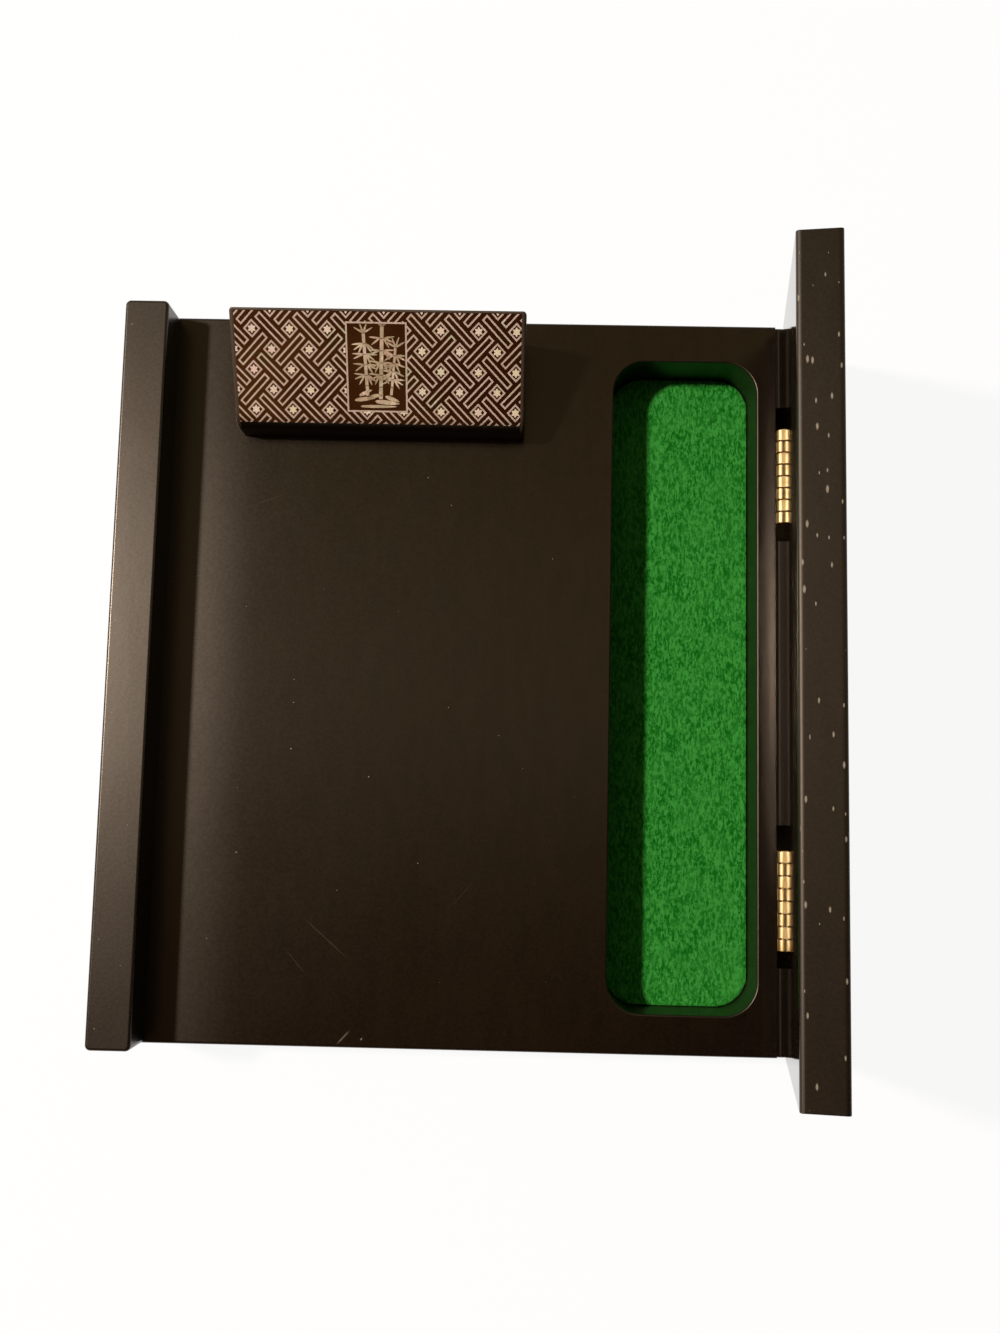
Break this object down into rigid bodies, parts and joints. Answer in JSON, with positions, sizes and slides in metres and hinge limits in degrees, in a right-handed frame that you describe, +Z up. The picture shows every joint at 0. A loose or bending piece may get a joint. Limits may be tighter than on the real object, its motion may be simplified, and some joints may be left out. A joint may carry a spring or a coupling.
{
  "type": "lacquer writing box",
  "caption": "Low lacquered desk writing box: a paper bay with a side rail and a sloping inlaid head block, and a felt-lined pen well under a hinged cover.",
  "frame": {"origin": "on the underside of the base, which the box stands on, below the middle of the panel without its hinge shelf", "axes": "+Z up, +Y along the rail and the pen well towards the head block at the back, +X across the box towards the hinge side"},
  "size_m": [0.1831, 0.19, 0.0811],
  "materials": {
    "black_lacquer": "glossy brown-black lacquer on wood",
    "green_felt": "matt fibrous felt",
    "dark_felt": "matt felt sheet",
    "shell_inlay": "dark brown ground with thin shell lines under clear lacquer",
    "brass": "polished",
    "dowel_wood": "bare",
    "steel": "zinc plated"
  },
  "bodies": {
    "base": {"base_felt": "dark_felt", "bottom_board": "black_lacquer", "top_board": "black_lacquer", "well_felt": "green_felt", "left_rail": "black_lacquer", "rail_dowel_1": "dowel_wood", "rail_dowel_2": "dowel_wood", "head_block": "black_lacquer", "shell_inlay": "shell_inlay", "head_block_screw_1": "steel", "head_block_screw_2": "steel", "hinge_1_base_leaf": "brass", "hinge_1_pin": "brass", "hinge_1_base_screw_1": "brass", "hinge_1_base_screw_2": "brass", "hinge_2_base_leaf": "brass", "hinge_2_pin": "brass", "hinge_2_base_screw_1": "brass", "hinge_2_base_screw_2": "brass"},
    "cover": {"pen_well_cover": "black_lacquer", "hinge_1_cover_leaf": "brass", "hinge_1_cover_screw_1": "brass", "hinge_1_cover_screw_2": "brass", "hinge_2_cover_leaf": "brass", "hinge_2_cover_screw_1": "brass", "hinge_2_cover_screw_2": "brass"}
  },
  "joints": [
    {"name": "cover_hinge", "type": "hinge", "parent": "base", "child": "cover", "pos_m": [0.08675, 0, 0.0229], "axis": [0, 1, 0], "range_deg": [-80.9, 19.8]}
  ]
}
